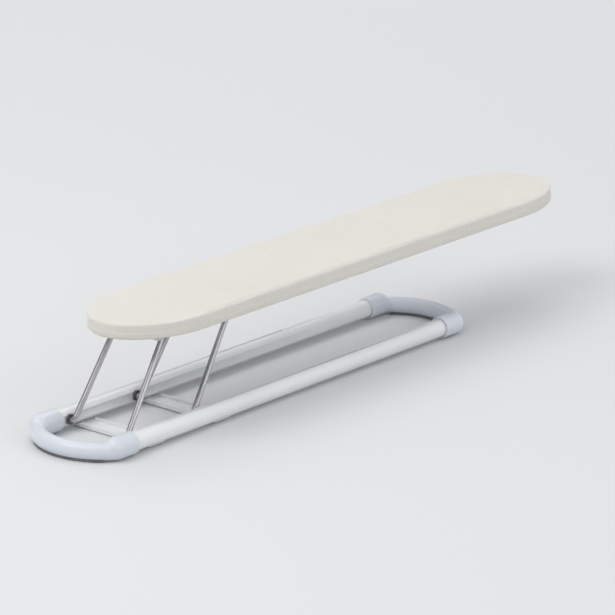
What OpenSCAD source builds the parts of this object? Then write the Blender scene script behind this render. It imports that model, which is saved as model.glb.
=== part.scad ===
// Folding sleeve ironing board: a padded board with rounded ends on two wire legs that swing in a low base.
// The frame has +X towards the free tail of the board and +Z up. The origin is on the table,
// below the middle of the raised board and base together.

/* [Base] */
// Length of the base over the two end bows
base_len = 516; // [480:2:560]
// Distance between the centre lines of the two rails
rail_pitch = 89; // [87:0.5:96]
// Outside diameter of the rail tubes
rail_d = 16.6; // [16:0.1:17]
// Wall of the rail tubes
rail_wall = 1.2; // [1:0.1:1.6]
// Height of the rail centre lines above the table
rail_z = 10.5; // [10.5:0.1:12]

/* [End bows] */
// Diameter of the curved bar of a bow
bow_d = 15.2; // [14:0.1:15.6]
// Height of the curved bar's centre line above the table
bow_z = 8.7; // [8.7:0.1:9.2]
// Radius of the curved bar's centre line
bow_r = 59; // [58:0.5:62]
// Half of the angle that the curved bar sweeps
bow_half = 51.5; // [50:0.5:52]
// Outside diameter of the collars that hold the rails
collar_d = 20.6; // [20.2:0.1:20.8]
// Length of a collar
collar_len = 30; // [26:1:34]
// Distance from the bow's outermost point back to the tip of its collars
collar_setback = 21; // [20:0.5:22]

/* [Legs] */
// Diameter of the leg rod
rod_d = 5; // [4:0.1:5]
// Centre-line radius of the bends in the leg rod
rod_bend = 3.6; // [3.2:0.1:3.6]
// Length of a leg between its two pivot axes
leg_len = 91.5; // [80:0.5:96]
// Lean of the raised legs towards the tail, from the vertical
leg_lean = 33.3; // [20:0.1:40]
// Distance from the front of the base to the front leg's foot axis
foot_setback = 59.5; // [56:0.5:70]
// Distance between the two legs along the base
leg_pitch = 84; // [80:1:120]
// Half of the width of a leg at its foot axis
foot_half = 31.4; // [30:0.1:31.4]
// Half of the width of a leg at its top axis
top_half = 26.8; // [26:0.1:28]

/* [Board] */
// Length of the board over its cover
board_len = 600; // [500:5:700]
// Width of the board over its cover
board_w = 104; // [100:1:120]
// Length of each rounded end
end_len = 76; // [60:1:90]
// Distance from the front of the base back to the nose of the raised board
nose_setback = 62.5; // [50:0.5:70]
// Height of the cover's top above the table
board_top = 107; // [105:0.5:112]
// Height of the cover's side
cover_side = 15; // [14:0.5:16]
// Thickness of the pad
pad_t = 4.6; // [3:0.1:5]
// Thickness of the cover fabric
cover_t = 0.8; // [0.6:0.1:1]

/* [Hidden] */
$fn = 64;

// Clearances: between fixed neighbours, around a turning rod, and around the rear leg's top rod
slip = 0.05;
pivot_slip = 0.08;
rear_top_slip = 0.2;
// Overrun of a cutting tool past the face that it leaves
over = 1;
sides = [-1, 1];

// The base
base_front = -(nose_setback + board_len) / 2;
base_x = base_front + base_len / 2;
rail_y = rail_pitch / 2;
rail_bore = rail_d - 2 * rail_wall;
rail_inner_y = rail_y - rail_d / 2;
socket_floor = 8.5;
rail_len = base_len - 2 * (collar_setback + socket_floor + slip);
// A vent hole for the paint line in the top of each rail
vent_d = 3;
vent_x = base_x + 87;

// The bows' rubber strips
grip_w = 9;
grip_h = 3.2;
grip_half = 40;

// The screws that hold the rails in the collars
screw_x = collar_setback + 20;
screw_z = 0.65;
screw_d = 3;
screw_head_d = 5.8;
screw_head_h = 1.4;
screw_len = 6;

// The straps that tie the rails together
strap_offset = 21;
strap_w = 20;
strap_t = 1.2;
strap_z = 0.9;
strap_tab = 1.6;
strap_rivet_y = rail_y - 1.6;
strap_flange_h = 3.8;
strap_flange_gap = 1.2;
strap_rivet_d = 3.2;
strap_rivet_head_d = 5;
strap_rivet_head_h = 0.9;
strap_rivet_tail_d = 4.6;
strap_rivet_tail_h = 1;
strap_rivet_tail_z = 4.7;

// The legs
front_foot_x = base_front + foot_setback;
feet_x = [front_foot_x, front_foot_x + leg_pitch];
top_dx = leg_len * sin(leg_lean);
pivot_z = rail_z + leg_len * cos(leg_lean);
taper = atan((foot_half - top_half) / leg_len);
bend_turn = 90 - taper;
bend_run = rod_bend * tan(bend_turn / 2);
side_len = sqrt(leg_len ^ 2 + (foot_half - top_half) ^ 2);
foot_end_y = rail_y - 1;
foot_chamfer = 0.6;
// The rod is a little thicker where it is bent, and its straight runs reach into the bends
bend_swell = 0.03;
bend_lap = 0.25;

// The bushes in the rails
bush_d = 7;
bush_flange_d = 9.4;
bush_face_y = rail_inner_y - 1;
bush_len = 4;

// The board, from the top down
half_w = board_w / 2;
nose_x = base_front + nose_setback;
nose_centre = nose_x + end_len;
tail_centre = nose_x + board_len - end_len;
end_steps = 36;
cover_z = board_top - cover_side;
pad_z = board_top - cover_t - pad_t;
deck_top = pad_z - slip;
deck_t = 0.8;
deck_h = 8;
deck_inset = cover_t + 0.6;
deck_lip = 3.5;
pad_inset = cover_t + 0.3;
hem_inset = 11;
elastic_inset = 5.6;
elastic_w = 4.6;
elastic_t = 0.55;
vent_hole_d = 5;
vent_pitch = 26;
vent_row_y = 30;
vent_margin = 34;

// The hinges under the deck
block_len = 24;
block_half = 21;
block_corner = 3;
block_top = deck_top - deck_t - slip;
stop_half = 30;
stop_back = 9;
stop_reach = 3.2;
stop_rise = 1.5;
stop_gap = rod_d / 2 + 0.08;
saddle_y = 12;
saddle_w = 12;
saddle_t = 1.2;
saddle_len = 23;
hinge_rivet_dx = 8;
hinge_rivet_d = 3.2;
hinge_rivet_head_d = 5.8;
hinge_rivet_head_h = 1.3;
hinge_rivet_sink_h = 0.7;

// Colours
paint_white = "#e9ebee";
plastic_white = "#e6eaf1";
bush_grey = "#55565d";
rubber_grey = "#77797f";
bright_steel = "#b9bdc2";
block_grey = "#d5d8db";
cotton = "#e5dfd3";
felt = "#d9d6cf";
elastic_white = "#f0efec";

// A bar along +X with a domed tip at -X; the origin is at the dome's centre.
module domed_bar(r, len)
  rotate([0, 90, 0])
    rotate_extrude() {
      intersection() {
        circle(r);
        translate([0, -r]) square(r);
      }
      square([r, len]);
    }

// A sector of a ring about Z, centred on the -X direction.
module ring_sector(half_angle)
  rotate([0, 0, 180 - half_angle])
    rotate_extrude(angle = 2 * half_angle) children();

// A countersunk pin along +Z with its wide face at z = 0; grow widens it into its own hole.
module sunk_pin(head_d, head_h, shank_d, len, grow = 0) {
  cylinder(r1 = head_d / 2 + grow, r2 = shank_d / 2 + grow, h = head_h);
  cylinder(r = shank_d / 2 + grow, h = len);
}

// The outline of the board, drawn in from its edge by inset.
function end_arc(centre_x, dir, inset) = [
  for (i = [0:end_steps])
    let (a = 180 * i / end_steps - 90)
      [centre_x + dir * (end_len - inset) * cos(a), dir * (half_w - inset) * sin(a)]
];
function board_outline(inset) = concat(end_arc(tail_centre, 1, inset), end_arc(nose_centre, -1, inset));

module board_slab(inset, z, h)
  translate([0, 0, z]) linear_extrude(h) polygon(board_outline(inset));

// The axis of a leg foot in the rail on one side, pointing outwards from the face of its bush.
module on_foot_axis(side, foot_x)
  translate([foot_x, side * bush_face_y, rail_z]) rotate([-side * 90, 0, 0]) children();

module rail(side)
  color(paint_white)
    difference() {
      translate([base_x - rail_len / 2, side * rail_y, rail_z])
        rotate([0, 90, 0])
          difference() {
            cylinder(d = rail_d, h = rail_len);
            translate([0, 0, -over]) cylinder(d = rail_bore, h = rail_len + 2 * over);
          }
      for (foot_x = feet_x) {
        on_foot_axis(side, foot_x) cylinder(d = bush_d + 2 * slip, h = rail_d / 2);
        translate([foot_x + strap_offset, side * strap_rivet_y, 0])
          cylinder(d = strap_rivet_d + 2 * slip, h = rail_z);
      }
      for (end = sides)
        translate([base_x + end * (base_len / 2 - screw_x), side * rail_y, 0])
          cylinder(d = screw_d + 2 * slip, h = rail_z);
      translate([vent_x, side * rail_y, rail_z]) cylinder(d = vent_d, h = rail_d);
    }

// One end moulding, with x measured from its outermost point into the base.
module bow_moulding()
  difference() {
    union() {
      translate([bow_d / 2 + bow_r, 0, bow_z])
        ring_sector(bow_half) translate([bow_r, 0]) circle(d = bow_d);
      for (side = sides)
        translate([collar_setback + collar_d / 2, side * rail_y, rail_z])
          domed_bar(collar_d / 2, collar_len - collar_d / 2);
    }
    for (side = sides) {
      translate([collar_setback + socket_floor, side * rail_y, rail_z])
        rotate([0, 90, 0]) cylinder(d = rail_d + 2 * slip, h = collar_len);
      translate([screw_x, side * rail_y, 0]) {
        translate([0, 0, screw_z])
          sunk_pin(screw_head_d, screw_head_h, screw_d, screw_len, slip);
        translate([0, 0, -over]) cylinder(d = screw_head_d + 2 * slip, h = screw_z + over);
      }
    }
    translate([bow_d / 2 + bow_r, 0, -over])
      ring_sector(grip_half + 0.1)
        translate([bow_r - grip_w / 2 - slip, 0]) square([grip_w + 2 * slip, grip_h + over + slip]);
  }

// Places a piece drawn for the front end at either end of the base.
module at_end(end)
  translate([base_x, 0, 0])
    mirror([end > 0 ? 1 : 0, 0, 0])
      translate([-base_len / 2, 0, 0]) children();

module bow(end)
  color(plastic_white) at_end(end) bow_moulding();

module bow_screws()
  color(bright_steel)
    for (end = sides, side = sides)
      at_end(end)
        translate([screw_x, side * rail_y, screw_z])
          sunk_pin(screw_head_d, screw_head_h, screw_d, screw_len);

module grip_strip(end)
  color(rubber_grey)
    at_end(end)
      translate([bow_d / 2 + bow_r, 0, 0])
        ring_sector(grip_half) translate([bow_r - grip_w / 2, 0]) square([grip_w, grip_h]);

// A pressed strap under both rails, with its long edges turned up between them.
module cross_strap(foot_x) {
  flange_half = rail_inner_y - strap_flange_gap;
  color(paint_white)
    translate([foot_x + strap_offset - strap_w / 2, 0, strap_z])
      difference() {
        union() {
          translate([0, -rail_y - strap_tab, 0]) cube([strap_w, 2 * (rail_y + strap_tab), strap_t]);
          for (x = [0, strap_w - strap_t])
            translate([x, -flange_half, 0]) cube([strap_t, 2 * flange_half, strap_flange_h]);
        }
        for (side = sides)
          translate([strap_w / 2, side * strap_rivet_y, 0])
            sunk_pin(strap_rivet_head_d, strap_rivet_head_h, strap_rivet_d, strap_t + over, slip);
      }
}

module strap_rivets()
  color(bright_steel)
    for (foot_x = feet_x, side = sides)
      translate([foot_x + strap_offset, side * strap_rivet_y, strap_z]) {
        sunk_pin(strap_rivet_head_d, strap_rivet_head_h, strap_rivet_d, strap_rivet_tail_z - strap_z);
        translate([0, 0, strap_rivet_tail_z - strap_z])
          cylinder(d = strap_rivet_tail_d, h = strap_rivet_tail_h);
      }

module foot_bushes()
  color(bush_grey)
    for (foot_x = feet_x, side = sides)
      difference() {
        union() {
          difference() {
            on_foot_axis(side, foot_x) cylinder(d = bush_flange_d, h = rail_inner_y - bush_face_y + 2);
            translate([foot_x - bush_flange_d, side * rail_y, rail_z])
              rotate([0, 90, 0]) cylinder(d = rail_d + 2 * slip, h = 2 * bush_flange_d);
          }
          on_foot_axis(side, foot_x) cylinder(d = bush_d, h = bush_len);
        }
        on_foot_axis(side, foot_x)
          translate([0, 0, -over]) cylinder(d = rod_d + 2 * pivot_slip, h = bush_len + 2 * over);
      }

// A bend of the rod in the YZ plane, about the origin and from one angle to bend_turn more.
module rod_arc(start)
  rotate([0, 90, 0])
    rotate([0, 0, start])
      rotate_extrude(angle = bend_turn) translate([rod_bend, 0]) circle(r = rod_d / 2 + bend_swell);

// A straight run of the rod along +Z between two bends, or from one bend on.
module rod_run(len, laps = 2)
  translate([0, 0, -bend_lap]) cylinder(d = rod_d, h = len + laps * bend_lap);

// One leg: a staple of round rod with its feet bent outwards. It stands on its foot axis.
module wire_leg() {
  top_run = top_half - bend_run;
  foot_run = foot_end_y - foot_chamfer - foot_half - bend_run;
  translate([0, -top_run, leg_len]) rotate([-90, 0, 0]) rod_run(2 * top_run);
  for (side = sides)
    mirror([0, side < 0 ? 1 : 0, 0]) {
      translate([0, top_run, leg_len - rod_bend]) rod_arc(180 - bend_turn);
      translate([0, foot_half, 0])
        rotate([taper, 0, 0])
          translate([0, 0, bend_run]) rod_run(side_len - 2 * bend_run);
      translate([0, foot_half + bend_run, rod_bend]) rod_arc(-bend_turn);
      translate([0, foot_half + bend_run, 0])
        rotate([-90, 0, 0]) {
          rod_run(foot_run, 1);
          translate([0, 0, foot_run])
            cylinder(r1 = rod_d / 2, r2 = rod_d / 2 - foot_chamfer, h = foot_chamfer);
        }
    }
}

module leg(foot_x)
  color(bright_steel)
    translate([foot_x, 0, rail_z]) rotate([0, leg_lean, 0]) wire_leg();

// The rivets of both hinges: two saddles to a hinge and two rivets to a saddle.
module at_hinge_rivets(foot_x)
  for (side = sides, dx = [-hinge_rivet_dx, hinge_rivet_dx])
    translate([foot_x + top_dx + dx, side * saddle_y, 0]) children();

// The top end of a hinge rivet, sunk into the deck; grow widens it into its own hole.
module hinge_rivet_sink(grow = 0)
  translate([0, 0, deck_top - hinge_rivet_sink_h])
    cylinder(r1 = hinge_rivet_d / 2 + grow, r2 = hinge_rivet_head_d / 2 + grow, h = hinge_rivet_sink_h);

// Steam vents in rows that keep clear of the hinges.
function is_clear_of_hinges(x, y) =
  abs(y) > block_half || min([for (foot_x = feet_x) abs(x - foot_x - top_dx)]) > block_len / 2 + vent_hole_d;

module deck_vents()
  for (x = [nose_x + vent_margin:vent_pitch / 2:nose_x + board_len - vent_margin]) {
    step = round((x - nose_x - vent_margin) / (vent_pitch / 2));
    rows = step % 2 == 0 ? [0] : [-vent_row_y, vent_row_y];
    for (y = rows)
      if (is_clear_of_hinges(x, y))
        translate([x, y, deck_top - deck_t - over]) cylinder(d = vent_hole_d, h = deck_t + 2 * over, $fn = 24);
  }

module deck()
  color(paint_white)
    difference() {
      board_slab(deck_inset, deck_top - deck_h, deck_h);
      board_slab(deck_inset + deck_t, deck_top - deck_h + deck_t, deck_h - 2 * deck_t);
      board_slab(deck_inset + deck_lip, deck_top - deck_h - over, deck_t + 2 * over);
      deck_vents();
      for (foot_x = feet_x)
        at_hinge_rivets(foot_x) {
          hinge_rivet_sink(slip);
          translate([0, 0, block_top]) cylinder(d = hinge_rivet_d + 2 * slip, h = deck_t + over);
        }
    }

// A point beside the raised leg's rod: along from the top axis towards the foot, and off to its front.
function beside_rod(along, off) = [
  -along * sin(leg_lean) - off * cos(leg_lean),
  -along * cos(leg_lean) + off * sin(leg_lean)
];

// The shoulders that the raised front rods lean on, drawn in X and Z about the top axis.
module stop_profile()
  polygon([
    beside_rod(stop_reach, stop_gap),
    beside_rod(-stop_rise, stop_gap),
    [beside_rod(-stop_rise, stop_gap)[0], block_top - pivot_z],
    [-stop_back, block_top - pivot_z],
    [-stop_back, beside_rod(stop_reach, stop_gap)[1]]
  ]);

module rounded_plan(len, half, r)
  union() {
    square([len - 2 * r, 2 * half], center = true);
    square([len, 2 * (half - r)], center = true);
    for (x = sides, y = sides)
      translate([x * (len / 2 - r), y * (half - r)]) circle(r);
  }

module hinge_block(foot_x, rod_slip)
  color(block_grey)
    translate([foot_x + top_dx, 0, 0])
      difference() {
        union() {
          translate([0, 0, pivot_z])
            linear_extrude(block_top - pivot_z) rounded_plan(block_len, block_half, block_corner);
          for (side = sides)
            translate([0, side * (block_half + stop_half) / 2 - side * over / 2, pivot_z])
              rotate([90, 0, 0])
                linear_extrude(stop_half - block_half + over, center = true) stop_profile();
        }
        translate([0, -stop_half, pivot_z])
          rotate([-90, 0, 0]) cylinder(d = rod_d + 2 * rod_slip, h = 2 * stop_half);
        for (side = sides, dx = [-hinge_rivet_dx, hinge_rivet_dx])
          translate([dx, side * saddle_y, pivot_z - over])
            cylinder(d = hinge_rivet_d + 2 * slip, h = block_top - pivot_z + 2 * over);
      }

// The two pressed saddles that hold a leg's top rod against its block.
module saddles(foot_x, rod_slip) {
  inner_r = rod_d / 2 + rod_slip;
  color(bright_steel)
    for (side = sides)
      translate([foot_x + top_dx, side * saddle_y, pivot_z - slip])
        difference() {
          union() {
            translate([-saddle_len / 2, -saddle_w / 2, -saddle_t]) cube([saddle_len, saddle_w, saddle_t]);
            intersection() {
              rotate([90, 0, 0]) cylinder(r = inner_r + saddle_t, h = saddle_w, center = true);
              translate([-saddle_len / 2, -saddle_w / 2, -saddle_len]) cube([saddle_len, saddle_w, saddle_len]);
            }
          }
          translate([0, 0, slip])
            rotate([90, 0, 0]) cylinder(r = inner_r, h = saddle_w + over, center = true);
          for (dx = [-hinge_rivet_dx, hinge_rivet_dx])
            translate([dx, 0, -saddle_t - over]) cylinder(d = hinge_rivet_d + 2 * slip, h = saddle_t + 2 * over);
        }
}

module hinge_rivets() {
  ear_z = pivot_z - 2 * slip - saddle_t;
  color(bright_steel)
    for (foot_x = feet_x)
      at_hinge_rivets(foot_x) {
        translate([0, 0, ear_z]) cylinder(d = hinge_rivet_d, h = deck_top - ear_z);
        hinge_rivet_sink();
        translate([0, 0, ear_z - hinge_rivet_head_h])
          cylinder(r1 = hinge_rivet_d / 2, r2 = hinge_rivet_head_d / 2, h = hinge_rivet_head_h);
      }
}

module pad()
  color(felt) board_slab(pad_inset, pad_z, pad_t - slip);

module cover()
  color(cotton)
    difference() {
      board_slab(0, cover_z, cover_side);
      board_slab(cover_t, cover_z + cover_t, cover_side - 2 * cover_t);
      board_slab(hem_inset, cover_z - over, cover_t + 2 * over);
    }

module hem_elastic()
  color(elastic_white)
    difference() {
      board_slab(elastic_inset, cover_z + cover_t + slip, elastic_t);
      board_slab(elastic_inset + elastic_w, cover_z + cover_t - over, elastic_t + 2 * over);
    }

rail(-1);  // left_rail
rail(1);  // right_rail
bow(-1);  // front_bow
bow(1);  // rear_bow
bow_screws();
grip_strip(-1);  // front_grip_strip
grip_strip(1);  // rear_grip_strip
cross_strap(feet_x[0]);  // front_cross_strap
cross_strap(feet_x[1]);  // rear_cross_strap
strap_rivets();
foot_bushes();
leg(feet_x[0]);  // front_leg
leg(feet_x[1]);  // rear_leg
deck();
hinge_block(feet_x[0], pivot_slip);  // front_hinge_block
hinge_block(feet_x[1], rear_top_slip);  // rear_hinge_block
saddles(feet_x[0], pivot_slip);  // front_saddles
saddles(feet_x[1], rear_top_slip);  // rear_saddles
hinge_rivets();
pad();
cover();
hem_elastic();
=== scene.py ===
"""Looks for the folding sleeve ironing board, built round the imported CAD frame."""
import math

import bmesh
import bpy
import numpy as np
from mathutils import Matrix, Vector
from mathutils.bvhtree import BVHTree
from mathutils.geometry import delaunay_2d_cdt


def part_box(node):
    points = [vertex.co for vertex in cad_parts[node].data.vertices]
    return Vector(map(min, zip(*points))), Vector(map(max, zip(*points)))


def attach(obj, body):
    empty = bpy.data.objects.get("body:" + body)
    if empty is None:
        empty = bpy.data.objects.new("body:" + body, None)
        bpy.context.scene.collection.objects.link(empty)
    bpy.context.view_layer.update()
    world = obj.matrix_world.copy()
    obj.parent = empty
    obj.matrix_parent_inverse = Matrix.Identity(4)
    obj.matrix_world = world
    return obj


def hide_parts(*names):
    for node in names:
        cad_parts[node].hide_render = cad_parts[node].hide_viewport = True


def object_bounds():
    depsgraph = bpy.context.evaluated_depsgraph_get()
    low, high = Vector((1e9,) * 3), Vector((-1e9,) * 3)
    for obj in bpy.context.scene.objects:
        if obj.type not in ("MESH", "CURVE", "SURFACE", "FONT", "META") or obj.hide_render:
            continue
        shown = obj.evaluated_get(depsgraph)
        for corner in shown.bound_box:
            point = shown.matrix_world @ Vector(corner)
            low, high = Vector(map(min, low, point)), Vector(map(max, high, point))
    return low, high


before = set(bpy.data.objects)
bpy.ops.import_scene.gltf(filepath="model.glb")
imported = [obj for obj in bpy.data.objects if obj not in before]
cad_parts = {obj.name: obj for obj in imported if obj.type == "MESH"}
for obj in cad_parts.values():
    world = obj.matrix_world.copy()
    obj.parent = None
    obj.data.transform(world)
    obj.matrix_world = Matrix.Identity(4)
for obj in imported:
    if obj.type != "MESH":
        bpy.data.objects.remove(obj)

CAD_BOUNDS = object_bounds()
MM = 0.001

# The camera looks from the nose end and the near side, from far away.
VIEW_AZIMUTH = -49.2
VIEW_ELEVATION = 17.8
CAMERA_DISTANCE = 3.8     # metres
SENSOR_WIDTH = 36.0       # millimetres
FRAME_FILL = 0.93         # how much of the picture's width the object fills

# The cover's shape, in millimetres. Its rows run from the flat top over the shoulder, down the side
# and under the board.
COVER_THICKNESS = 0.8
TOP_DROP = 0.7            # how far the sheet starts below the top of the CAD cover
SHOULDER_WIDTH = 3.6
SHOULDER_DROP = 2.0
SHOULDER_POWER = 2.1      # 2 is a quarter of an ellipse, and more is squarer
SHOULDER_STEPS = 6
SHOULDER_INSET = 0.2
TOP_BORDER = 2.2          # flat strip between the shoulder and the lattice of the top
SIDE_INSET = 0.1
SIDE_ROWS = 4
SIDE_BORDERS = (1.1, 0.8)    # above the side's first row and below its last row
HEM_BAND = 3.8            # height of the folded hem on the side
HEM_PROUD = 0.3           # how far the folded hem stands out
HEM_ROUND = 2.2           # radius of the turn under the board
HEM_DEPTH = 11.0          # how far the hem reaches in under the board
UNDER_ROWS = 5
PINNED_ROWS = 3
TOP_WAVE = 0.12           # height of the waves on the top
SIDE_FOLD = 0.32          # size of the gathers on the side
HEM_FOLD = 0.42           # and under the board
GATHERS = ((9.7, 1.0, 0.0), (6.3, 0.7, 1.1), (15.1, 0.6, 2.3))    # length, size and phase of each wave
GATHER_REACH = 30         # how far the gathers of the ends run on along the straight sides
GATHER_FADE = 40          # the distance over which they fade
LATTICE_STEP = 5.4        # distance between the points inside a flat face
LATTICE_GAP = 3.2         # how far they keep from its edge

# The cloth simulation. Its caps are in millimetres.
CLOTH = {
    "quality": 7,
    "mass": 0.15,
    "tension_stiffness": 18,
    "compression_stiffness": 12,
    "shear_stiffness": 6,
    "bending_stiffness": 0.35,
    "shrink_min": -0.001,
    "use_pressure": True,
    "uniform_pressure_force": 0.5,
}
SIM_FRAMES = 20
SIM_CAP = 1.5             # how far a point of the top may move
SIM_SIDE_CAP = 0.35       # and a point of the side
SIM_INWARD = 0.15         # how far any point may sink in

# The stitches, pad and elastic, in millimetres.
STITCH_LENGTH = 2.5
STITCH_PITCH = 3.3
STITCH_RADIUS = 0.22
STITCH_SIDES = 6
STITCH_DROP = 0.9         # the upper row, below the hem's top edge
STITCH_INSET = 3.0        # the lower row, in from the turn under the board
STITCH_PATH = ((-1.0, -0.5), (0.35, -0.36), (0.6, 0.0), (0.35, 0.36), (-1.0, 0.5))    # lift, step
STITCH_END = 0.55         # how thick its two ends are, as a part of its middle
STITCH_RAY = 10           # how far outside the cloth its rays start
PAD_GAP = 0.8             # between the pad and the cover's sheet
PAD_CORNER = 0.8
PAD_SHOULDER = 0.8        # the part of its height that its shoulder takes
PAD_BORDER = 4            # between its lower corner and the lattice of its flat face
ELASTIC_LIFT = 0.25       # above the CAD elastic
ELASTIC_MARGIN = 0.8      # between the elastic and the hem's inner edge
ELASTIC_CORNER = 0.15


# ---------------------------------------------------------------- materials

class Recipe:
    """A material whose nodes are added and linked in reading order."""

    def __init__(self, name, **finish):
        self.material = bpy.data.materials.new(name)
        self.material.use_nodes = True
        self.tree = self.material.node_tree
        self.shader = self.tree.nodes["Principled BSDF"]
        for socket, value in finish.items():
            self.set(socket.replace("_", " "), value)

    def wire(self, value, socket):
        if isinstance(value, bpy.types.NodeSocket):
            self.tree.links.new(value, socket)
        else:
            socket.default_value = value

    def set(self, socket, value):
        """Sets or links one input of the material's shader."""
        self.wire(value, self.shader.inputs[socket])

    def calc(self, operation, a, b=0.0):
        node = self.tree.nodes.new("ShaderNodeMath")
        node.operation = operation
        self.wire(a, node.inputs[0])
        self.wire(b, node.inputs[1])
        return node.outputs[0]

    def position(self, stretch=(1, 1, 1), attribute=None):
        """Object coordinates in metres, or a named attribute, stretched per axis."""
        if attribute:
            source = self.tree.nodes.new("ShaderNodeAttribute")
            source.attribute_name = attribute
            vector = source.outputs["Vector"]
        else:
            source = self.tree.nodes.new("ShaderNodeTexCoord")
            vector = source.outputs["Object"]
        mapping = self.tree.nodes.new("ShaderNodeMapping")
        self.wire(vector, mapping.inputs["Vector"])
        mapping.inputs["Scale"].default_value = stretch
        return mapping.outputs["Vector"]

    def split(self, vector):
        node = self.tree.nodes.new("ShaderNodeSeparateXYZ")
        self.wire(vector, node.inputs[0])
        return node.outputs

    def noise(self, vector, scale, detail=2.0, roughness=0.5):
        node = self.tree.nodes.new("ShaderNodeTexNoise")
        self.wire(vector, node.inputs["Vector"])
        node.inputs["Scale"].default_value = scale
        node.inputs["Detail"].default_value = detail
        node.inputs["Roughness"].default_value = roughness
        return node.outputs["Fac"]

    def cells(self, vector, scale):
        """Distance to the nearest cell's centre, and a random grey for each cell."""
        node = self.tree.nodes.new("ShaderNodeTexVoronoi")
        self.wire(vector, node.inputs["Vector"])
        node.inputs["Scale"].default_value = scale
        grey = self.split(node.outputs["Color"])[0]
        return node.outputs["Distance"], grey

    def span(self, value, from_low, from_high, to_low, to_high):
        node = self.tree.nodes.new("ShaderNodeMapRange")
        for socket, number in zip(node.inputs[:5], (value, from_low, from_high, to_low, to_high)):
            self.wire(number, socket)
        return node.outputs[0]

    def blend(self, factor, a, b):
        """A colour that goes from a to b as factor goes from 0 to 1."""
        node = self.tree.nodes.new("ShaderNodeMix")
        node.data_type = "RGBA"
        self.wire(factor, node.inputs["Factor"])
        self.wire(a if isinstance(a, bpy.types.NodeSocket) else (*a, 1), node.inputs[6])
        self.wire(b if isinstance(b, bpy.types.NodeSocket) else (*b, 1), node.inputs[7])
        return node.outputs[2]

    def relief(self, height, depth, strength=1.0, under=None):
        """Bump of the given depth in metres for a height of 0 to 1, over an earlier relief."""
        node = self.tree.nodes.new("ShaderNodeBump")
        node.inputs["Strength"].default_value = strength
        node.inputs["Distance"].default_value = depth
        self.wire(height, node.inputs["Height"])
        if under is not None:
            self.wire(under, node.inputs["Normal"])
        return node.outputs["Normal"]


def powder_coat(name, colour, peel_depth=0.000007):
    """Baked powder paint: glossy, with orange peel and a little dust in its tone."""
    m = Recipe(name, Coat_Weight=0.25, Coat_Roughness=0.12, Specular_IOR_Level=0.5)
    place = m.position()
    cloud = m.noise(place, 14, 4)
    m.set("Base Color", m.blend(m.span(cloud, 0.35, 0.7, 0, 1), colour, [c * 0.955 for c in colour]))
    m.set("Roughness", m.span(m.noise(place, 60, 3), 0.3, 0.7, 0.30, 0.42))
    m.set("Normal", m.relief(m.noise(place, 520, 1), peel_depth))
    return m.material


def moulded_plastic(name, colour, roughness, grain_depth, grain_scale=2400):
    """A moulded part: even colour, fine tool texture, cloudy gloss and handling scuffs."""
    m = Recipe(name, Specular_IOR_Level=0.5)
    place = m.position()
    tone = m.span(m.noise(place, 22, 3), 0.35, 0.65, 0, 1)
    m.set("Base Color", m.blend(tone, colour, [c * 0.96 for c in colour]))
    scuffs = m.noise(m.position((30, 260, 260)), 1.6, 5, 0.7)
    m.set("Roughness", m.calc("ADD", m.span(scuffs, 0.5, 0.75, 0, 0.09), roughness))
    grain = m.relief(m.noise(place, grain_scale, 2), grain_depth)
    m.set("Normal", m.relief(m.noise(place, 45, 1), grain_depth * 4, 0.5, grain))
    return m.material


def plated_rod():
    """Bright plated steel rod with the fine lengthwise lines of drawing, and faint clouding."""
    m = Recipe("plated_rod", Metallic=1.0)
    along = m.noise(m.position((1500, 1500, 40)), 1.0, 3, 0.6)
    cloud = m.noise(m.position(), 60, 4, 0.6)
    m.set("Base Color", m.blend(m.span(cloud, 0.35, 0.7, 0, 1), (0.62, 0.61, 0.64), (0.50, 0.49, 0.52)))
    clouding = m.span(cloud, 0.3, 0.7, 0.29, 0.34)
    m.set("Roughness", m.calc("ADD", clouding, m.span(along, 0.4, 0.7, 0, 0.05)))
    m.set("Normal", m.relief(m.noise(m.position(), 160, 1), 0.000004))
    return m.material


def zinc_plate():
    """Zinc-plated pressed steel: soft grey, lightly brushed, mottled."""
    m = Recipe("zinc_plate", Metallic=1.0)
    brush = m.noise(m.position((90, 3200, 3200)), 1.0, 4, 0.6)
    mottle = m.noise(m.position(), 420, 4, 0.6)
    m.set("Base Color", m.blend(m.span(mottle, 0.35, 0.7, 0, 1), (0.66, 0.67, 0.70), (0.50, 0.51, 0.53)))
    mottling = m.span(mottle, 0.3, 0.7, 0.3, 0.42)
    m.set("Roughness", m.calc("ADD", mottling, m.span(brush, 0.3, 0.7, 0, 0.08)))
    m.set("Normal", m.relief(brush, 0.00001))
    return m.material


def ribbed_rubber():
    """Grey-black rubber with fine ribs round its strip and a dusty bloom."""
    m = Recipe("ribbed_rubber", Specular_IOR_Level=0.35)
    place = m.position()
    dust = m.span(m.noise(place, 120, 5, 0.65), 0.45, 0.75, 0, 1)
    m.set("Base Color", m.blend(dust, (0.15, 0.15, 0.16), (0.24, 0.24, 0.24)))
    m.set("Roughness", m.span(dust, 0, 1, 0.68, 0.88))
    height = m.split(place)[2]
    rib = m.calc("SINE", m.calc("MULTIPLY", height, 2 * math.pi / (0.8 * MM)))
    ribs = m.relief(m.span(rib, -1, 1, 0, 1), 0.00008)
    m.set("Normal", m.relief(m.noise(place, 3000, 2), 0.00003, 1.0, ribs))
    return m.material


def weave_height(m, u, v, pitch):
    """Plain weave from two families of round threads, each over the other in turn."""
    wave_u = m.calc("SINE", m.calc("MULTIPLY", u, math.pi / pitch))
    wave_v = m.calc("SINE", m.calc("MULTIPLY", v, math.pi / pitch))
    turn = m.span(m.calc("MULTIPLY", wave_u, wave_v), -0.25, 0.25, 0, 1)
    warp = m.calc("ABSOLUTE", wave_u)
    weft = m.calc("ABSOLUTE", wave_v)
    over = m.calc("MULTIPLY", turn, warp)
    under = m.calc("MULTIPLY", m.calc("SUBTRACT", 1.0, turn), weft)
    return m.calc("ADD", over, under)


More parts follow.
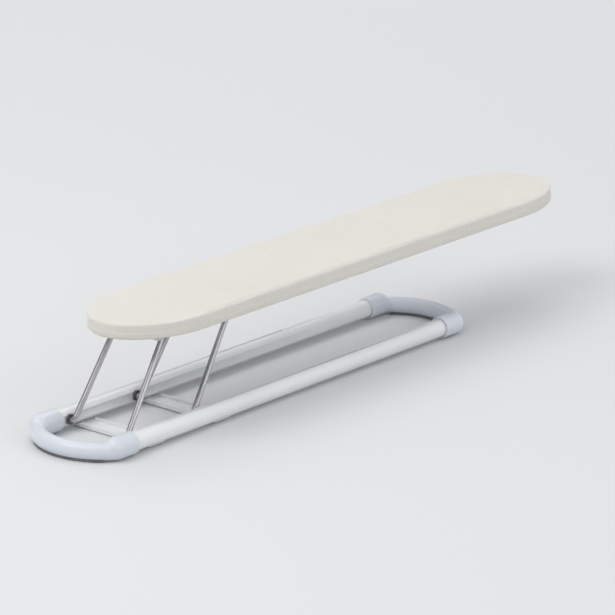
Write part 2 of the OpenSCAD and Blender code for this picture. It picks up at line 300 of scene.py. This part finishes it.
def cotton(name, colour, attribute, pitch=0.52 * MM):
    """Unbleached plain-weave cotton: slubby threads both ways, painted shade between them, husk flecks,
    faint press creases.
    """
    m = Recipe(name, Specular_IOR_Level=0.2, Sheen_Weight=0.25, Sheen_Roughness=0.45)
    cloth = m.position((1, 1, 1), attribute)
    u, v = m.split(cloth)[0], m.split(cloth)[1]
    wobble = m.calc("MULTIPLY", m.calc("SUBTRACT", m.noise(cloth, 70, 3), 0.5), 1.2 * pitch)
    weave = weave_height(m, m.calc("ADD", u, wobble), m.calc("ADD", v, wobble), pitch)
    slub_u = m.noise(m.position((28, 1500, 1), attribute), 1.0, 4, 0.62)
    slub_v = m.noise(m.position((1500, 28, 1), attribute), 1.0, 4, 0.62)
    slubs = m.calc("MULTIPLY", m.calc("ADD", slub_u, slub_v), 0.5)
    cloud = m.noise(cloth, 11, 4, 0.55)

    dark = [c * f for c, f in zip(colour, (0.86, 0.85, 0.83))]
    light = [min(1.0, c * f) for c, f in zip(colour, (1.05, 1.05, 1.06))]
    threads = m.blend(m.span(slubs, 0.38, 0.62, 0, 1), dark, light)
    # Painted shade: the weave's low hollows between the threads are darkened to 0.8 of the cloth's
    # colour.
    shaded_gaps = m.blend(m.span(weave, 0.15, 0.75, 0, 1), [c * 0.80 for c in colour], threads)
    base = m.blend(m.span(cloud, 0.35, 0.68, 0, 0.55), shaded_gaps, [c * 0.95 for c in colour])
    distance, chance = m.cells(m.position((1.0, 0.6, 1), attribute), 130)
    near = m.calc("LESS_THAN", distance, m.span(chance, 0.78, 1, 0.02, 0.045))
    husk = m.calc("MULTIPLY", near, m.calc("GREATER_THAN", chance, 0.78))
    m.set("Base Color", m.blend(m.calc("MULTIPLY", husk, 0.7), base, (0.22, 0.13, 0.07)))
    m.set("Roughness", m.span(weave, 0, 1, 0.96, 0.84))

    creases = m.relief(m.noise(m.position((9, 16, 1), attribute), 1.0, 3, 0.5), 0.0009, 0.5)
    lumps = m.relief(slubs, 0.00012, 0.8, creases)
    m.set("Normal", m.relief(weave, 0.00012, 0.9, lumps))
    return m.material


def felt():
    """Needled felt: matted fibres, soft and uneven."""
    m = Recipe("felt", Roughness=1.0, Sheen_Weight=0.5, Sheen_Roughness=0.6, Specular_IOR_Level=0.1)
    place = m.position()
    fibres = m.noise(m.position((1100, 350, 900)), 1.0, 5, 0.7)
    tufts = m.noise(place, 240, 3, 0.6)
    mixed = m.calc("MULTIPLY", m.calc("ADD", fibres, tufts), 0.5)
    m.set("Base Color", m.blend(m.span(mixed, 0.38, 0.62, 0, 1), (0.50, 0.48, 0.43), (0.72, 0.70, 0.65)))
    m.set("Normal", m.relief(mixed, 0.0004))
    return m.material


def ribbed_elastic():
    """Woven elastic: ribs across its length, painted shade in the troughs between them, and a matt white
    yarn.
    """
    m = Recipe("ribbed_elastic", Roughness=0.85, Sheen_Weight=0.3, Specular_IOR_Level=0.2)
    u, v = m.split(m.position((1, 1, 1), "cloth_uv"))[:2]
    rib = m.calc("SINE", m.calc("MULTIPLY", m.calc("ADD", u, v), 2 * math.pi / (0.9 * MM)))
    # Painted shade: the ribs' troughs are darker and their crests lighter, following the same height as
    # the bump.
    rib_height_and_shade = m.span(rib, -1, 1, 0, 1)
    m.set("Base Color", m.blend(rib_height_and_shade, (0.62, 0.61, 0.59), (0.82, 0.81, 0.79)))
    m.set("Normal", m.relief(rib_height_and_shade, 0.0002))
    return m.material


def sewing_thread():
    """Two-ply cotton thread with its twist, and painted shade in the grooves between its plies."""
    m = Recipe("sewing_thread", Roughness=0.75, Sheen_Weight=0.3, Specular_IOR_Level=0.3)
    x, y, z = m.split(m.position())
    lay = m.calc("ADD", m.calc("ADD", x, y), m.calc("MULTIPLY", z, 1.4))
    twist = m.span(m.calc("SINE", m.calc("MULTIPLY", lay, 2 * math.pi / (0.35 * MM))), -1, 1, 0, 1)
    # Painted shade: the grooves of the twist are darker, following the same height as the bump.
    m.set("Base Color", m.blend(twist, (0.62, 0.58, 0.50), (0.86, 0.83, 0.77)))
    m.set("Normal", m.relief(twist, 0.00006))
    return m.material


# Edges sharper than this many degrees are rounded, and faces flatter than this are one face.
SHARP_ANGLE = 38
FLAT_ANGLE = 1


def weld(part, name, distance):
    """Closes the seams of a part's mesh, where points lie closer than a distance in millimetres."""
    closing = part.modifiers.new(name, "WELD")
    closing.merge_threshold = distance * MM


def paint_node(node, material, bevel=None):
    """Gives a CAD node its material, and rounds its sharp edges where bevel is a width in millimetres."""
    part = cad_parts[node]
    part.data.materials.clear()
    part.data.materials.append(material)
    weld(part, "Closed seams", 0.002)
    if bevel:
        flats = part.modifiers.new("Flat faces", "DECIMATE")
        flats.decimate_type = "DISSOLVE"
        flats.angle_limit = math.radians(FLAT_ANGLE)
        rounding = part.modifiers.new("Bevel", "BEVEL")
        rounding.width = bevel * MM
        rounding.segments = 2
        rounding.limit_method = "ANGLE"
        rounding.angle_limit = math.radians(SHARP_ANGLE)
        rounding.harden_normals = True
        weld(part, "Closed bevels", 0.01)


# ---------------------------------------------------------------- board shapes

class Outline:
    """The board's outline at any inset, as rings of matching stations, in millimetres."""

    END_STEP = 2.1
    SIDE_STEP = 4.6

    def __init__(self, node):
        low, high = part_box(node)
        self.low = np.array(low) / MM
        self.high = np.array(high) / MM
        self.half_w = (self.high[1] - self.low[1]) / 2
        corners = np.array([v.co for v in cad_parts[node].data.vertices]) / MM
        widest = corners[corners[:, 1] > self.high[1] - 0.01]
        self.end_len = widest[:, 0].min() - self.low[0]
        self.nose_x = self.low[0] + self.end_len
        self.tail_x = self.high[0] - self.end_len
        self.angles = self.even_angles()
        self.side_steps = round((self.tail_x - self.nose_x) / self.SIDE_STEP)

    def even_angles(self):
        """Angles from -90 to 90 degrees that step evenly along the curved end."""
        fine = np.linspace(-math.pi / 2, math.pi / 2, 2001)
        x, y = self.end_len * np.cos(fine), self.half_w * np.sin(fine)
        walked = np.concatenate([[0], np.cumsum(np.hypot(np.diff(x), np.diff(y)))])
        steps = round(walked[-1] / self.END_STEP)
        return np.interp(np.linspace(0, walked[-1], steps + 1), walked, fine)[:-1]

    def ring(self, inset):
        """Points (x, y) of every station, going round from the near side of the tail."""
        along, across = self.end_len - inset, self.half_w - inset
        a = self.angles
        run = np.linspace(0, 1, self.side_steps + 1)[:-1]
        tail = np.stack([self.tail_x + along * np.cos(a), across * np.sin(a)], 1)
        far = np.stack([self.tail_x + (self.nose_x - self.tail_x) * run, np.full(len(run), across)], 1)
        nose = np.stack([self.nose_x - along * np.cos(a), -across * np.sin(a)], 1)
        near = np.stack([self.nose_x + (self.tail_x - self.nose_x) * run, np.full(len(run), -across)], 1)
        return np.concatenate([tail, far, nose, near])

    def lattice(self, inset):
        """Evenly spread points (x, y) that keep clear of the ring at this inset."""
        along, across = self.end_len - inset - LATTICE_GAP, self.half_w - inset - LATTICE_GAP
        row_gap = LATTICE_STEP * math.sin(math.pi / 3)
        rows = int(across / row_gap)
        points = []
        for k in range(-rows, rows + 1):
            shift = LATTICE_STEP / 2 if k % 2 else 0
            x = np.arange(self.low[0] + shift, self.high[0], LATTICE_STEP)
            past = np.maximum(np.maximum(self.nose_x - x, x - self.tail_x), 0)
            y = k * row_gap
            x = x[(past / along) ** 2 + (y / across) ** 2 < 1]
            points.append(np.stack([x, np.full(len(x), y)], 1))
        return np.concatenate(points)

    def normals(self):
        """Outward direction of every station."""
        edge = self.ring(0)
        ahead = np.roll(edge, -1, 0) - np.roll(edge, 1, 0)
        out = np.stack([ahead[:, 1], -ahead[:, 0]], 1)
        return out / np.linalg.norm(out, axis=1)[:, None]

    def walked(self):
        """Distance along the edge to every station."""
        edge = self.ring(0)
        return np.concatenate([[0], np.cumsum(np.linalg.norm(np.diff(edge, axis=0), axis=1))])

    def curved(self):
        """1 where the edge is curved, fading to 0 along the straight sides."""
        x = self.ring(0)[:, 0]
        past = np.maximum(self.nose_x - x, x - self.tail_x)
        return np.clip((past + GATHER_REACH) / GATHER_FADE, 0, 1)


def rounded(inset, z, radius, start, end, steps):
    """Rows of (inset, z) round a corner; 0 degrees faces out and 90 degrees up."""
    turn = [math.radians(start + (end - start) * i / steps) for i in range(steps + 1)]
    return [(inset + radius * (1 - math.cos(a)), z + radius * math.sin(a)) for a in turn]


def shoulder(inset, top, width, drop, steps):
    """Rows of (inset, z) from a flat top over a soft, padded edge to an upright side."""
    rows = []
    for i in range(steps + 1):
        a = math.pi / 2 * (1 - i / steps)
        reach, rise = (max(f(a), 0) ** (2 / SHOULDER_POWER) for f in (math.cos, math.sin))
        rows.append((inset + width * (1 - reach), top - drop * (1 - rise)))
    return rows


def fill(ring, inside):
    """Triangles over a ring of points (x, y) and the points inside it. The ring's points come first."""
    points = [Vector(p) for p in np.concatenate([ring, inside]).tolist()]
    border = [(i, (i + 1) % len(ring)) for i in range(len(ring))]
    found = delaunay_2d_cdt(points, border, [], 1, 1e-5)
    faces, sources = found[2], found[3]
    return [[sources[i][0] for i in face] for face in faces]


def loft(name, outline, rows, shape=None, filled=(0,), wrap=False):
    """A mesh through one ring per row of (inset, z), with the rows in filled closed by an even lattice.
    shape(r, place) gives the offsets in millimetres of the points (x, y, z) of row r.
    The attribute cloth_uv holds flat cloth coordinates: the edge's place plus the way walked past it.
    The attribute row holds each point's row."""
    normals, edge = outline.normals(), outline.ring(0)
    points, flats, row_of = [], [], []
    walked, last = None, rows[0]
    for r, (inset, z) in enumerate(rows):
        flat = outline.ring(max(inset, 0))
        place = np.column_stack([flat + normals * max(-inset, 0), np.full(len(flat), z)])
        if walked is None and z < rows[0][1] - 0.05:
            walked = -last[0]
        if walked is not None:
            walked += math.hypot(inset - last[0], z - last[1])
            flat = edge + normals * walked
        last = (inset, z)
        points.append(place + (shape(r, place) if shape else 0))
        flats.append(flat)
        row_of.append(np.full(len(flat), r))
    ring_n = len(edge)
    faces = []
    for r in range(len(rows) if wrap else len(rows) - 1):
        s = (r + 1) % len(rows)
        for i in range(ring_n):
            j = (i + 1) % ring_n
            faces.append((r * ring_n + i, s * ring_n + i, s * ring_n + j, r * ring_n + j))
    for r in filled:
        inside = outline.lattice(rows[r][0])
        first = sum(len(p) for p in points)
        lookup = [(r % len(rows)) * ring_n + i for i in range(ring_n)]
        lookup += [first + i for i in range(len(inside))]
        faces += [[lookup[i] for i in face] for face in fill(outline.ring(rows[r][0]), inside)]
        place = np.column_stack([inside, np.full(len(inside), rows[r][1])])
        points.append(place + (shape(r, place) if shape else 0))
        flats.append(inside)
        row_of.append(np.full(len(inside), r))
    mesh = bpy.data.meshes.new(name)
    mesh.from_pydata((np.concatenate(points) * MM).tolist(), [], faces)
    flat = mesh.attributes.new("cloth_uv", "FLOAT_VECTOR", "POINT")
    flat_points = np.concatenate(flats) * MM
    flat.data.foreach_set("vector", np.column_stack([flat_points, np.zeros(len(flat_points))]).ravel())
    row = mesh.attributes.new("row", "FLOAT", "POINT")
    row.data.foreach_set("value", np.concatenate(row_of).astype(float))
    return finish_mesh(name, mesh)


def add_object(name, data):
    thing = bpy.data.objects.new(name, data)
    bpy.context.scene.collection.objects.link(thing)
    return thing


def turn_outwards(bm):
    bmesh.ops.recalc_face_normals(bm, faces=bm.faces)
    closed = all(edge.is_manifold for edge in bm.edges)
    if closed and bm.calc_volume(signed=True) < 0:
        bmesh.ops.reverse_faces(bm, faces=bm.faces)


def finish_mesh(name, mesh):
    """Joins points that meet, turns the faces outwards, smooths the shading and makes the object."""
    bm = bmesh.new()
    bm.from_mesh(mesh)
    bmesh.ops.remove_doubles(bm, verts=bm.verts, dist=0.02 * MM)
    bmesh.ops.dissolve_degenerate(bm, edges=bm.edges, dist=0.001 * MM)
    turn_outwards(bm)
    bm.to_mesh(mesh)
    bm.free()
    mesh.polygons.foreach_set("use_smooth", [True] * len(mesh.polygons))
    return add_object(name, mesh)


def points_of(mesh):
    co = np.zeros(len(mesh.vertices) * 3)
    mesh.vertices.foreach_get("co", co)
    return co.reshape(-1, 3)


def evaluated_mesh(piece):
    """A free copy of the piece's mesh with its modifiers applied."""
    bpy.context.view_layer.update()
    return bpy.data.meshes.new_from_object(piece.evaluated_get(bpy.context.evaluated_depsgraph_get()))


def apply_modifiers(piece):
    piece.data = evaluated_mesh(piece)
    piece.modifiers.clear()


# ---------------------------------------------------------------- the cover

def cover_rows(outline):
    """Rows from the flat top over the edge, down the side and under to the hem's inner edge."""
    top = outline.high[2] - TOP_DROP
    bottom = outline.low[2]
    band_top = bottom + HEM_ROUND + HEM_BAND
    side_top = top - SHOULDER_DROP - SIDE_BORDERS[0]
    side_bottom = band_top + SIDE_BORDERS[1]
    rows = [(SHOULDER_WIDTH + TOP_BORDER, top)]
    rows += shoulder(SHOULDER_INSET, top, SHOULDER_WIDTH, SHOULDER_DROP, SHOULDER_STEPS)
    rows += [(SIDE_INSET, z) for z in np.linspace(side_top, side_bottom, SIDE_ROWS)]
    rows += [(0.15, band_top + 0.25), (-HEM_PROUD * 0.6, band_top - 0.3)]    # the step to the folded hem
    rows += [(-HEM_PROUD, band_top - HEM_BAND * 0.5)]
    rows += rounded(-HEM_PROUD, bottom + HEM_ROUND, HEM_ROUND, 0, -90, 3)
    rows += [(inset, bottom) for inset in np.linspace(HEM_ROUND + 1.6, HEM_DEPTH, UNDER_ROWS)]
    return rows


def gathers(outline):
    """The height of the gathers at every station: full round the ends and slight along the sides."""
    walked = outline.walked()
    ends = 0.18 + 0.82 * outline.curved()
    slow = 0.75 + 0.25 * np.sin(walked * 2 * math.pi / 61 + 0.7)
    folds = sum(size * np.sin(walked * 2 * math.pi / length + phase) for length, size, phase in GATHERS)
    return folds * ends * slow


def under_share(inset):
    """0 where the hem turns under the board, and 1 at its inner edge."""
    return max(0, (inset - HEM_ROUND) / (HEM_DEPTH - HEM_ROUND))


def cover_shape(outline, rows):
    """Offsets for the cover: slight waves on its padded top, and the small folds that the elastic draws
    into its hem, deepest at the hem's inner edge and round the ends."""
    folds = gathers(outline)
    normals = outline.normals()
    top, bottom = rows[0][1], outline.low[2]

    def offset(r, place):
        inset, z = rows[r]
        moved = np.zeros_like(place)
        if z > top - SHOULDER_DROP:
            x, y = place[:, 0], place[:, 1]
            wave = np.sin(x / 31 + 1.3 * np.sin(y / 27)) + 0.6 * np.sin(x / 17.3 - y / 21 + 0.8)
            moved[:, 2] = wave * TOP_WAVE * min(1, inset / SHOULDER_WIDTH)
        else:
            down = min(1, (top - z) / (top - bottom))
            under = under_share(inset) if z == bottom else 0
            moved[:, :2] = normals * (folds * SIDE_FOLD * down ** 2 * (1 - under))[:, None]
            moved[:, 2] = folds * HEM_FOLD * under
        return moved

    return offset


def row_numbers(piece):
    rows = np.zeros(len(piece.data.vertices))
    piece.data.attributes["row"].data.foreach_get("value", rows)
    return rows


def hem_pins(piece, first_row):
    """Pins the hem from one row on, where the elastic holds it."""
    group = piece.vertex_groups.new(name="held")
    group.add([int(i) for i in np.nonzero(row_numbers(piece) >= first_row)[0]], 1.0, "REPLACE")
    return group


def vertex_normals(mesh):
    normals = np.zeros(len(mesh.vertices) * 3)
    mesh.vertices.foreach_get("normal", normals)
    return normals.reshape(-1, 3)


def swell(piece, held, caps):
    """Cloth simulation that fills the piece out between its held points. No point moves further than its
    cap in millimetres, or sinks in further than SIM_INWARD."""
    before = points_of(piece.data)
    normals = vertex_normals(piece.data)
    cloth = piece.modifiers.new("Cloth", "CLOTH")
    for setting, value in CLOTH.items():
        setattr(cloth.settings, setting, value)
    cloth.settings.vertex_group_mass = held.name
    cloth.settings.effector_weights.gravity = 0
    cloth.collision_settings.use_collision = False
    for step in range(1, SIM_FRAMES + 1):
        bpy.context.scene.frame_set(step)
    after = evaluated_mesh(piece)
    move = points_of(after) - before
    out = (move * normals).sum(1)
    move -= normals * np.minimum(out + SIM_INWARD * MM, 0)[:, None]
    length = np.maximum(np.linalg.norm(move, axis=1) / (caps * MM), 1e-6)
    move *= (np.tanh(length) / length)[:, None]
    piece.modifiers.clear()
    piece.data.vertices.foreach_set("co", (before + move).ravel())
    piece.data.update()
    bpy.data.meshes.remove(after)
    bpy.context.scene.frame_set(1)


def make_cover(outline):
    rows = cover_rows(outline)
    piece = loft("cover_fabric", outline, rows, cover_shape(outline, rows))
    held = hem_pins(piece, len(rows) - PINNED_ROWS)
    caps = np.interp(row_numbers(piece), (0, SHOULDER_STEPS), (SIM_CAP, SIM_SIDE_CAP))
    swell(piece, held, caps)
    mesh = piece.data
    surface = BVHTree.FromPolygons([v.co for v in mesh.vertices], [p.vertices for p in mesh.polygons])
    solid = piece.modifiers.new("Solidify", "SOLIDIFY")
    solid.thickness = COVER_THICKNESS * MM
    solid.offset = -1
    smooth = piece.modifiers.new("Subdivision", "SUBSURF")
    smooth.levels = 1
    smooth.render_levels = 1
    apply_modifiers(piece)
    piece.data.materials.append(cotton("cover_cotton", COTTON, "cloth_uv"))
    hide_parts("cover")
    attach(piece, "board")
    return surface


# ---------------------------------------------------------------- stitches

def even_stations(points, pitch):
    """Places and directions at an even pitch along a closed line of points (x, y)."""
    closed = np.vstack([points, points[:1]])
    walked = np.concatenate([[0], np.cumsum(np.linalg.norm(np.diff(closed, axis=0), axis=1))])
    count = round(walked[-1] / pitch)
    at = np.linspace(0, walked[-1], count + 1)[:-1]
    place = np.column_stack([np.interp(at, walked, closed[:, k]) for k in (0, 1)])
    ahead = np.roll(place, -1, 0) - np.roll(place, 1, 0)
    return place, ahead / np.linalg.norm(ahead, axis=1)[:, None]


def stitch_mesh(bm, centre, along, normal):
    """One stitch: a short thread that rises from the cloth and dips back into it."""
    side = along.cross(normal).normalized()
    rings = []
    for lift, step in STITCH_PATH:
        middle = centre + along * (step * STITCH_LENGTH * MM) + normal * (lift * STITCH_RADIUS * MM)
        width = STITCH_RADIUS * MM * (STITCH_END if abs(step) == 0.5 else 1.0)
        ring = []
        for k in range(STITCH_SIDES):
            a = 2 * math.pi * k / STITCH_SIDES
            place = middle + side * (width * math.cos(a)) + normal * (width * math.sin(a))
            ring.append(bm.verts.new(place))
        rings.append(ring)
    for a, b in zip(rings, rings[1:]):
        for k in range(STITCH_SIDES):
            j = (k + 1) % STITCH_SIDES
            bm.faces.new((a[k], a[j], b[j], b[k]))
    bm.faces.new(reversed(rings[0]))
    bm.faces.new(rings[-1])


def make_stitches(outline, surface):
    """Two rows of stitches laid on the cloth by rays: one on the hem's side and one underneath."""
    bm = bmesh.new()
    bottom = outline.low[2]
    side_z = bottom + HEM_ROUND + HEM_BAND - STITCH_DROP
    place, along = even_stations(outline.ring(0), STITCH_PITCH)
    for (x, y), (tx, ty) in zip(place, along):
        outside = Vector((x + ty * STITCH_RAY, y - tx * STITCH_RAY, side_z)) * MM
        hit, normal = surface.ray_cast(outside, Vector((-ty, tx, 0)))[:2]
        if hit:
            outwards = normal.dot(Vector((ty, -tx, 0))) >= 0
            stitch_mesh(bm, hit, Vector((tx, ty, 0)), normal if outwards else -normal)
    place, along = even_stations(outline.ring(HEM_ROUND + STITCH_INSET), STITCH_PITCH)
    for (x, y), (tx, ty) in zip(place, along):
        below = Vector((x, y, bottom - STITCH_RAY)) * MM
        hit, normal = surface.ray_cast(below, Vector((0, 0, 1)))[:2]
        if hit:
            stitch_mesh(bm, hit, Vector((tx, ty, 0)), -normal if normal.z > 0 else normal)
    mesh = bpy.data.meshes.new("hem_stitches")
    bmesh.ops.recalc_face_normals(bm, faces=bm.faces)
    bm.to_mesh(mesh)
    bm.free()
    mesh.polygons.foreach_set("use_smooth", [True] * len(mesh.polygons))
    piece = add_object("hem_stitches", mesh)
    piece.data.materials.append(sewing_thread())
    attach(piece, "board")


# ---------------------------------------------------------------- pad and elastic

def make_pad(outline):
    """The felt between deck and cover: a soft-edged slab."""
    low, high = (np.array(corner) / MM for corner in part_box("pad"))
    inset = outline.high[1] - high[1] + PAD_GAP
    top = high[2] - TOP_DROP - PAD_GAP
    rows = shoulder(inset, top, SHOULDER_WIDTH, (top - low[2]) * PAD_SHOULDER, SHOULDER_STEPS)
    rows += rounded(inset, low[2] + PAD_CORNER, PAD_CORNER, 0, -90, 3)
    rows += [(inset + PAD_BORDER, low[2])]
    piece = loft("felt_pad", outline, rows, filled=(0, -1))
    piece.data.materials.append(felt())
    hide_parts("pad")
    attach(piece, "board")


def make_elastic(outline):
    """The elastic in the hem: a flat band that follows the gathers."""
    low, high = (np.array(corner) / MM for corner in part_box("hem_elastic"))
    outer = outline.high[1] - high[1]
    inner = HEM_DEPTH - ELASTIC_MARGIN
    bottom, top = low[2] + ELASTIC_LIFT, high[2] + ELASTIC_LIFT
    rows = [(outer, top), (inner, top), (inner, bottom), (outer, bottom)]
    lift = np.outer(gathers(outline) * HEM_FOLD, (0, 0, 1))

    def follow(r, place):
        return lift * under_share(rows[r][0])

    piece = loft("hem_elastic_band", outline, rows, follow, filled=(), wrap=True)
    rounding = piece.modifiers.new("Bevel", "BEVEL")
    rounding.width = ELASTIC_CORNER * MM
    rounding.segments = 2
    rounding.limit_method = "ANGLE"
    apply_modifiers(piece)
    piece.data.materials.append(ribbed_elastic())
    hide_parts("hem_elastic")
    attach(piece, "board")


# ---------------------------------------------------------------- end bows

BOW_VOXEL = 0.6           # millimetres


def make_bow(node, material):
    """A bow as one moulding: the CAD solid with soft fillets where the bar runs into the collars."""
    piece = add_object(node + "_moulding", evaluated_mesh(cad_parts[node]))
    remesh = piece.modifiers.new("Remesh", "REMESH")
    remesh.mode = "VOXEL"
    remesh.voxel_size = BOW_VOXEL * MM
    remesh.use_smooth_shade = True
    smooth = piece.modifiers.new("Smooth", "SMOOTH")
    smooth.factor = 0.5
    smooth.iterations = 4
    apply_modifiers(piece)
    piece.data.materials.clear()
    piece.data.materials.append(material)
    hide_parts(node)
    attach(piece, "base")


# ---------------------------------------------------------------- stage

FLOOR_REACH = 12          # metres
FLOOR_FADE = (0.7, 3.2)   # where the floor starts to fade into the surround, and where it ends, in metres
FLOOR_COLOUR = (0.66, 0.665, 0.675)
SURROUND_COLOUR = (0.86, 0.87, 0.885)
SURROUND_STRENGTH = 0.93
GLOSSY_STOPS = ((0.42, 0.12), (0.60, 0.26), (0.70, 0.95), (0.84, 1.0))    # place from left to right, grey

# Each soft light: name, azimuth, elevation, distance and size in metres, watts, colour.
LIGHTS = (
    ("key", -110, 52, 2.4, (1.8, 1.4), 22, (1.0, 0.985, 0.96)),
    ("fill", 15, 30, 2.6, (2.2, 1.4), 9, (0.97, 0.98, 1.0)),
    ("back", 140, 48, 2.6, (1.8, 1.0), 8, (1, 1, 1)),
)


def make_floor():
    """A pale floor that fades into the surround far from the object, so that no horizon shows."""
    mesh = bpy.data.meshes.new("floor")
    corners = [(x * FLOOR_REACH, y * FLOOR_REACH, 0) for x, y in ((-1, -1), (1, -1), (1, 1), (-1, 1))]
    mesh.from_pydata(corners, [], [(0, 1, 2, 3)])
    floor = add_object("floor", mesh)
    m = Recipe("floor", Roughness=0.9, Specular_IOR_Level=0.1)
    away = m.tree.nodes.new("ShaderNodeVectorMath")
    away.operation = "LENGTH"
    m.wire(m.position(), away.inputs[0])
    fade = m.span(away.outputs["Value"], *FLOOR_FADE, 0, 1)
    m.set("Base Color", m.blend(fade, FLOOR_COLOUR, (0, 0, 0)))
    m.set("Emission Color", (*SURROUND_COLOUR, 1))
    m.set("Emission Strength", m.calc("MULTIPLY", fade, SURROUND_STRENGTH))
    mesh.materials.append(m.material)


def direction(azimuth, elevation):
    """From the object towards something at this azimuth and elevation."""
    a, e = math.radians(azimuth), math.radians(elevation)
    return Vector((math.sin(a) * math.cos(e), -math.cos(a) * math.cos(e), math.sin(e)))


def aim(thing, azimuth, elevation, distance, target):
    back = direction(azimuth, elevation)
    thing.location = target + back * distance
    thing.rotation_euler = back.to_track_quat("Z", "Y").to_euler()


def add_light(target, name, azimuth, elevation, distance, size, power, colour):
    lamp = bpy.data.lights.new(name, "AREA")
    lamp.shape = "RECTANGLE"
    lamp.size, lamp.size_y = size
    lamp.energy = power
    lamp.color = colour
    aim(add_object(name, lamp), azimuth, elevation, distance, target)


def make_world():
    """A soft pale surround. Shiny parts see it dark on the left and low down, and bright on the right."""
    world = bpy.data.worlds.new("studio")
    bpy.context.scene.world = world
    world.use_nodes = True
    tree = world.node_tree
    background = tree.nodes["Background"]
    coords = tree.nodes.new("ShaderNodeTexCoord")
    sideways = tree.nodes.new("ShaderNodeVectorMath")
    sideways.operation = "DOT_PRODUCT"
    sideways.inputs[1].default_value = direction(VIEW_AZIMUTH + 90, 10)
    half = tree.nodes.new("ShaderNodeMapRange")
    half.inputs["From Min"].default_value = -1
    ramp = tree.nodes.new("ShaderNodeValToRGB")
    stops = ramp.color_ramp.elements
    stops[0].position, stops[0].color = 0.0, (0.10, 0.10, 0.12, 1)
    stops[1].position, stops[1].color = 1.0, (0.9, 0.92, 0.95, 1)
    for place, grey in GLOSSY_STOPS:
        stops.new(place).color = (grey, grey, grey * 1.04, 1)
    path = tree.nodes.new("ShaderNodeLightPath")
    mix = tree.nodes.new("ShaderNodeMix")
    mix.data_type = "RGBA"
    tree.links.new(coords.outputs["Generated"], sideways.inputs[0])
    tree.links.new(sideways.outputs["Value"], half.inputs[0])
    tree.links.new(half.outputs[0], ramp.inputs[0])
    tree.links.new(path.outputs["Is Glossy Ray"], mix.inputs["Factor"])
    mix.inputs[6].default_value = (*SURROUND_COLOUR, 1)
    tree.links.new(ramp.outputs["Color"], mix.inputs[7])
    tree.links.new(mix.outputs[2], background.inputs["Color"])
    background.inputs["Strength"].default_value = SURROUND_STRENGTH


def make_camera(target, width):
    lens = bpy.data.cameras.new("camera")
    camera = add_object("camera", lens)
    aim(camera, VIEW_AZIMUTH, VIEW_ELEVATION, CAMERA_DISTANCE, target)
    lens.sensor_width = SENSOR_WIDTH
    lens.lens = SENSOR_WIDTH * CAMERA_DISTANCE / width
    lens.clip_end = 50
    bpy.context.scene.camera = camera


def make_stage():
    low, high = (Vector(corner) for corner in CAD_BOUNDS)
    target = (low + high) / 2
    sideways = direction(VIEW_AZIMUTH + 90, 0)
    size = high - low
    seen_width = abs(size.x * sideways.x) + abs(size.y * sideways.y)
    make_floor()
    make_world()
    for light in LIGHTS:
        add_light(target, *light)
    make_camera(target, seen_width / FRAME_FILL)
    bpy.context.scene.view_settings.view_transform = "Standard"


# ---------------------------------------------------------------- assembly

WHITE_PAINT = (0.79, 0.80, 0.805)
DECK_PAINT = (0.74, 0.75, 0.76)
COOL_WHITE = (0.645, 0.68, 0.735)
BLOCK_GREY = (0.60, 0.62, 0.64)
DARK_GREY = (0.085, 0.087, 0.10)
COTTON = (0.765, 0.737, 0.68)

RAILS = ("left_rail", "right_rail")
STRAPS = ("front_cross_strap", "rear_cross_strap")
GRIPS = ("front_grip_strip", "rear_grip_strip")
BLOCKS = ("front_hinge_block", "rear_hinge_block")
FASTENERS = ("bow_screws", "strap_rivets", "hinge_rivets")
SADDLES = ("front_saddles", "rear_saddles")
LEGS = ("front_leg", "rear_leg")
BOWS = ("front_bow", "rear_bow")


def dress_frame():
    """Every hard part keeps its CAD shape and gets its finish."""
    rail_paint = powder_coat("rail_paint", WHITE_PAINT)
    for node in RAILS:
        paint_node(node, rail_paint)
    for node in STRAPS:
        paint_node(node, rail_paint, bevel=0.35)
    rubber = ribbed_rubber()
    for node in GRIPS:
        paint_node(node, rubber, bevel=0.3)
    paint_node("foot_bushes", moulded_plastic("bush_plastic", DARK_GREY, 0.42, 0.000004), bevel=0.15)
    rod = plated_rod()
    for node in LEGS:
        paint_node(node, rod)
    paint_node("deck", powder_coat("deck_paint", DECK_PAINT, 0.000005))
    block = moulded_plastic("block_plastic", BLOCK_GREY, 0.45, 0.00001, 1800)
    for node in BLOCKS:
        paint_node(node, block, bevel=0.4)
    zinc = zinc_plate()
    for node in FASTENERS:
        paint_node(node, zinc)
    for node in SADDLES:
        paint_node(node, zinc, bevel=0.2)
    bow_plastic = moulded_plastic("bow_plastic", COOL_WHITE, 0.29, 0.000003, 1500)
    for node in BOWS:
        make_bow(node, bow_plastic)


dress_frame()
board = Outline("cover")
cover_surface = make_cover(board)
make_stitches(board, cover_surface)
make_pad(board)
make_elastic(board)
make_stage()
